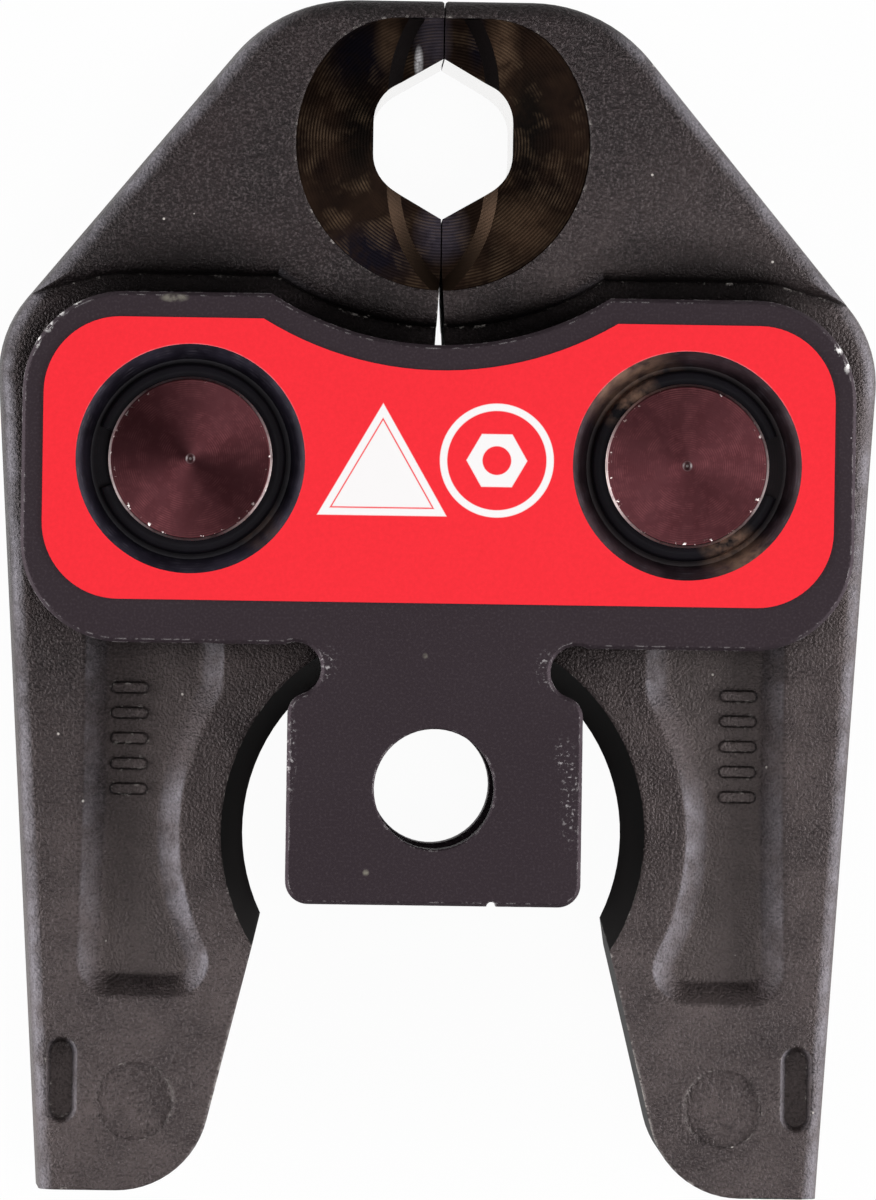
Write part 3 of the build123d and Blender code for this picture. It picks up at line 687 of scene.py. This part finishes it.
# %% [markdown]
# The faces round the mouth are turned last and stay nearly bare. Heat and oil tint them brown, with
# blue-black in the upper and lower left, straw beside the top, and paler grey at the split where the
# halves were lapped together. Beside the sides of the hexagon and at the top left of the split they are
# painted near black as painted shade. Each of these lies in particular places, so it is a list of spots.

# %% Turned mouth ring: tints and painted shade
mouth_x, mouth_y = 0.0, 76.2
tints_and_painted_shade = [
    ("#0e0d14", 0.9, [((-10.0, 86.5), (5.0, 5.5)), ((-8.5, 63.0), (6.5, 4.5)), ((3.9, 88.5), (1.4, 4.0))]),
    # Painted shade: near black beside the hexagon and at the top left of the split.
    ("#0c0a09", 0.9, [((-10.0, 77.5), (3.0, 9.0)), ((10.0, 78.5), (3.2, 9.0)), ((-4.0, 88.5), (1.6, 4.0))]),
    ("#453529", 0.7, [((-6.7, 88.4), (1.8, 4.4)), ((6.8, 88.0), (2.4, 5.0)), ((9.5, 66.5), (5.0, 4.5))]),
    ("#3c3842", 0.7, [((-1.4, 88.8), (2.6, 5.5)), ((0.0, 66.0), (3.6, 4.4))]),
]
mouth, tree, at = start_finish("turned_mouth_ring")
tone = blend(tree, patchy(tree, at, 7.0, 0.35, 0.65), "#130d0b", "#231913")
for colour, share, places in tints_and_painted_shade:
    here = strongest(tree, [spot(tree, at, *place) for place in places])
    here = both(tree, here, patchy(tree, at, 2.0, 0.1, 0.5))
    tone = blend(tree, both(tree, here, share), tone, colour)
print("tinted spots:", sum(len(places) for _, _, places in tints_and_painted_shade))

# %% [markdown]
# The feed marks are coarse enough to see, about a third of a millimetre apart, where the oil has gone.
# The slope down to the hexagon hides from the lamp: it is nearly black, and brown only on its side
# towards the foot. As on the pins the marks stretch the shine across themselves. Their direction runs
# round the mouth, which is no axis of the piece, so it is worked out here and turned from the piece's
# axes to those of the world.

# %% Turned mouth ring: marks and shine
feed_depth = 0.012
slope_far, slope_near = 73.0, 68.0
radius = from_axis(tree, at, (mouth_x, mouth_y))
marks = feed_marks(tree, radius, mouth_feed)
ridges = both(tree, marks, patchy(tree, at, 4.0, 0.5, 0.7))
tone = blend(tree, both(tree, ridges, 0.35), tone, "#6a5745")
# A pale crescent at the upper left edge of the hexagon.
pale_crescent = both(tree, spot(tree, at, (-3.0, 85.9), (0.6, 2.2)), patchy(tree, at, 0.8, 0.2, 0.5))
tone = blend(tree, strongest(tree, [pale_crescent, specks(tree, at, 3.0, 0.13, 0.2)]), tone, "#c4c2c4")
lean = node(tree, "TexCoord")
lean = node(tree, "SeparateXYZ", None, {0: lean.outputs["Normal"]})
slope = node(tree, "MapRange", None, {0: lean.outputs["Z"], 1: 0.98, 2: 0.9, 3: 0.0, 4: 1.0})
place = node(tree, "SeparateXYZ", None, {0: at})
slope_tone = node(tree, "MapRange", None, {0: place.outputs["Y"], 1: slope_far, 2: slope_near})
slope_tone = blend(tree, slope_tone.outputs[0], "#030202", "#2e231b")
tone = blend(tree, slope.outputs[0], tone, slope_tone)
bumps = node(tree, "Bump", None, {"Strength": 0.3, "Distance": feed_depth * mm, "Height": marks})
off = node(tree, "VectorMath", {"operation": "SUBTRACT"}, {0: at, 1: (mouth_x, mouth_y, 0)})
lay = node(tree, "VectorMath", {"operation": "CROSS_PRODUCT"}, {0: (0, 0, 1), 1: off.outputs[0]})
lay = node(tree, "VectorTransform", {
    "vector_type": "VECTOR", "convert_from": "OBJECT", "convert_to": "WORLD",
}, {0: lay.outputs[0]})
seal(mouth, node(tree, "BsdfPrincipled", None, {
    "Base Color": tone, "Metallic": 1.0, "Roughness": 0.38, "Anisotropic": 0.7,
    "Tangent": lay.outputs[0], "Normal": bumps.outputs[0],
}))

# %% [markdown]
# Snap rings and jaw spring are drawn spring wire, blued by tempering. The model gives the wire eight
# flats, so its normals are rounded over here and it looks as round as the real wire. The rings on the
# right carry the tan painted highlights of their dish.

# %% Blued spring wire
wire_round, cloud_pitch = 0.45, 2.0
glint_places = [((pin_x - 7.2, pin_y + 7.9), (4.5, 4.0)), ((pin_x + 5.2, pin_y - 9.0), (4.2, 2.8))]
wire, tree, at = start_finish("blued_spring_wire")
rounded, _ = soft_edges(tree, wire_round)
cloud = node(tree, "TexNoise", None, {"Vector": at, "Scale": 1 / cloud_pitch, "Detail": 3.0})
tone = blend(tree, cloud.outputs[0], "#0a080c", "#15121a")
# Painted highlight: the same tan glints as in the right dish.
wire_glint = strongest(tree, [spot(tree, at, *place) for place in glint_places])
tone = blend(tree, both(tree, wire_glint, patchy(tree, at, 2.0, 0.35, 0.65)), tone, "#7a5f50")
seal(wire, node(tree, "BsdfPrincipled", None, {
    "Base Color": tone, "Roughness": 0.6, "Specular IOR Level": 0.15, "Normal": rounded, "IOR": 1.5,
}))

# %% [markdown]
# The label is a printed film, satin red with white figures: a plain triangle with a thin line inside
# it, and a ring round a six-sided mark, which stand in for the picture on the real one. Each figure
# is a distance: a triangle or hexagon is the largest of its distances from straight sides, and a
# line or ring is where such a distance lies between two values.

# %% Distances for printed figures
def from_sides(tree, at, centre, angles, mirrored):
    """Distance out from a centre, measured square to straight sides that face these angles."""
    off = node(tree, "VectorMath", {"operation": "SUBTRACT"}, {0: at, 1: (*centre, 0)})
    reach = []
    for angle in angles:
        facing = (math.cos(math.radians(angle)), math.sin(math.radians(angle)), 0)
        out = node(tree, "VectorMath", {"operation": "DOT_PRODUCT"}, {0: off.outputs[0], 1: facing})
        out = out.outputs["Value"]
        if mirrored:
            out = node(tree, "Math", {"operation": "ABSOLUTE"}, {0: out}).outputs[0]
        reach.append(out)
    return strongest(tree, reach)


def between(tree, distance, low, high):
    """1 where a distance lies between two values, with an edge as sharp as print."""
    blur = 0.06
    above = node(tree, "MapRange", None, {0: distance, 1: low - blur, 2: low + blur})
    below = node(tree, "MapRange", None, {0: distance, 1: high - blur, 2: high + blur, 3: 1.0, 4: 0.0})
    return both(tree, above.outputs[0], below.outputs[0])


triangle_sides, hexagon_sides = (-90, 30, 150), (30, 90, 150)
print("sides of the triangle and of the hexagon:", len(triangle_sides), 2 * len(hexagon_sides))

# %% [markdown]
# The triangle faces three ways, so it has three sides. Three pairs of mirrored sides make the hexagon,
# whose round hole is a second distance from the same centre. Where the film was punched for the dishes
# its upper rims show pale, and one folded distance finds both holes.

# %% Printed film label
triangle_centre, triangle_inradius = (-6.65, 36.55), 4.4
line_start, line_end = triangle_inradius - 1.0, triangle_inradius - 0.84
ring_centre, ring_outer, ring_inner = (6.8, 38.8), 6.7, 5.85
mark_inradius, mark_hole = 3.1, 1.7
hole_start, hole_end = 13.44, 13.56
cloud_pitch, film_depth = 0.5, 0.01
far_inside, far_outside = -20.0, 99.0
film, tree, at = start_finish("printed_red_film")
triangle = from_sides(tree, at, triangle_centre, triangle_sides, False)
white = between(tree, triangle, far_inside, triangle_inradius)
thin_line = between(tree, triangle, line_start, line_end)
white = node(tree, "Math", {"operation": "SUBTRACT"}, {0: white, 1: thin_line}).outputs[0]
radius = from_axis(tree, at, ring_centre)
sides = from_sides(tree, at, ring_centre, hexagon_sides, True)
mark = between(tree, sides, -1.0, mark_inradius)
mark = both(tree, mark, between(tree, radius, mark_hole, far_outside))
white = strongest(tree, [white, between(tree, radius, ring_inner, ring_outer), mark])
cloud = node(tree, "TexNoise", None, {
    "Vector": at, "Scale": 1 / cloud_pitch, "Detail": 4.0, "Roughness": 0.7,
})
tone = blend(tree, cloud.outputs[0], "#ea081c", "#ff1a2e")
tone = blend(tree, white, tone, "#f6f4f4")
place = node(tree, "SeparateXYZ", None, {0: at})
aside = node(tree, "Math", {"operation": "ABSOLUTE"}, {0: place.outputs["X"]})
folded = node(tree, "CombineXYZ", None, {0: aside.outputs[0], 1: place.outputs["Y"]})
# The upper rims of both punched holes are paler.
hole = between(tree, from_axis(tree, folded.outputs[0], (pin_x, pin_y)), hole_start, hole_end)
upper = node(tree, "MapRange", None, {0: place.outputs["Y"], 1: pin_y, 2: pin_y + 8.0})
pale_upper_rim = both(tree, both(tree, hole, upper.outputs[0]), patchy(tree, at, 2.0, 0.3, 0.6))
tone = blend(tree, pale_upper_rim, tone, "#f0727a")
bumps = node(tree, "Bump", None, {"Strength": 0.15, "Distance": film_depth * mm, "Height": cloud.outputs[0]})
seal(film, node(tree, "BsdfPrincipled", None, {
    "Base Color": tone, "Roughness": 0.68, "Normal": bumps.outputs[0], "IOR": 1.45,
}))

# %% [markdown]
# Each piece of the model arrives as one solid. On the real jaw one forging has both raw and machined
# faces, so each small face takes its finish by where it lies and which way it looks. The tests use
# the distance to the sides, the place along the jaw, the height above the parting plane, either way,
# and the direction square to the face.

# %% Give each face its finish
def finish_faces(name, choices, rest):
    """Gives a piece the first finish whose test its face's middle and normal meet, in millimetres."""
    mesh = nodes[name].data
    mesh.materials.clear()
    mesh.materials.append(rest)
    for material, _ in choices:
        mesh.materials.append(material)
    counts = [0] * (len(choices) + 1)
    for face in mesh.polygons:
        x, y, z = face.center / mm
        face.material_index = 0
        for index, (_, test) in enumerate(choices, 1):
            if test(x, y, abs(z - parting_level), face.normal):
                face.material_index = index
                break
        counts[face.material_index] += 1
    print(name, counts)


hexagon_y, hexagon_inner, hexagon_outer = 76.85, 7.9, 10.0
ring_reach, ring_end, ring_lift = 17.5, 91.2, (9.5, 13.3)
cutout_y, cutout_reach = -5.5, 25.4
parting_reach, leg_top = 12.0, -12.0
dish_reach = 13.45


def on_mouth_ring(x, y, lift, normal):
    turned = math.hypot(x, y - mouth_y) < ring_reach and ring_lift[0] < lift < ring_lift[1] and y < ring_end
    return turned and math.hypot(x, y - hexagon_y) > hexagon_inner and normal.z > -0.4


def in_hexagon(x, y, lift, normal):
    return math.hypot(x, y - hexagon_y) < hexagon_outer and abs(normal.z) < 0.1 and lift < 12.0


def is_milled(x, y, lift, normal):
    upright = abs(normal.z) < 0.4
    parting = abs(x) < parting_reach and abs(normal.x) > 0.9
    cutout = math.hypot(x, y - cutout_y) < cutout_reach
    leg = y < leg_top and abs(normal.z) < 0.02
    return upright and (parting or cutout or leg)


def in_dish(side):
    """A test for the faces of the dish on one side."""
    return lambda x, y, lift, normal: math.hypot(x - side * pin_x, y - pin_y) < dish_reach


straight_up = Vector((0, 0, 1))
print("a level face above the mouth is on the ring:", on_mouth_ring(0.0, 88.0, 12.5, straight_up))

# %% [markdown]
# Now every piece is dressed. The numbers printed after each name count its small faces: first those
# that keep the general finish, then those that took each of the special ones.

# %% Dress the pieces
for name in ("jaw_left", "jaw_right"):
    finish_faces(name, [(polished, in_hexagon), (mouth, on_mouth_ring), (milled, is_milled)], forged)
for name, steel in (("front_plate", front_steel), ("rear_plate", rear_steel)):
    finish_faces(name, [(left_dish, in_dish(-1)), (right_dish, in_dish(1))], steel)
for name in ("pivot_pin_left", "pivot_pin_right"):
    finish_faces(name, [], pin)
for name in ("front_ring_left", "front_ring_right", "rear_ring_left", "rear_ring_right"):
    finish_faces(name, [], wire)
finish_faces("front_label", [], film)

# %% [markdown]
# The jaw spring is one coil whose ends sit in pockets of the two arms. It is carried along and squeezed
# as they open, which no single body can show. So it is cut in its middle plane: each half rides on its
# arm, and at rest the halves meet as one coil.

# %% Jaw spring in two halves
for side, word in ((-1, "left"), (1, "right")):
    half_mesh = nodes["jaw_spring"].data.copy()
    work = bmesh.new()
    work.from_mesh(half_mesh)
    bmesh.ops.remove_doubles(work, verts=work.verts, dist=0.0001 * mm)
    cut = bmesh.ops.bisect_plane(
        work, geom=work.verts[:] + work.edges[:] + work.faces[:], plane_co=(0, 0, 0), plane_no=(side, 0, 0),
        clear_inner=True,
    )
    rim = [part for part in cut["geom_cut"] if isinstance(part, bmesh.types.BMEdge)]
    bmesh.ops.holes_fill(work, edges=rim)
    open_edges = sum(part.is_boundary for part in work.edges)
    work.to_mesh(half_mesh)
    work.free()
    half_mesh.materials.clear()
    half_mesh.materials.append(wire)
    for face in half_mesh.polygons:
        face.material_index = 0
    half = bpy.data.objects.new("jaw_spring_" + word, half_mesh)
    bpy.context.scene.collection.objects.link(half)
    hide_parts("jaw_spring")
    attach(half, word + "_arm")
    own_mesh(half)
    print(half.name, len(half_mesh.polygons), "faces,", open_edges, "open edges")
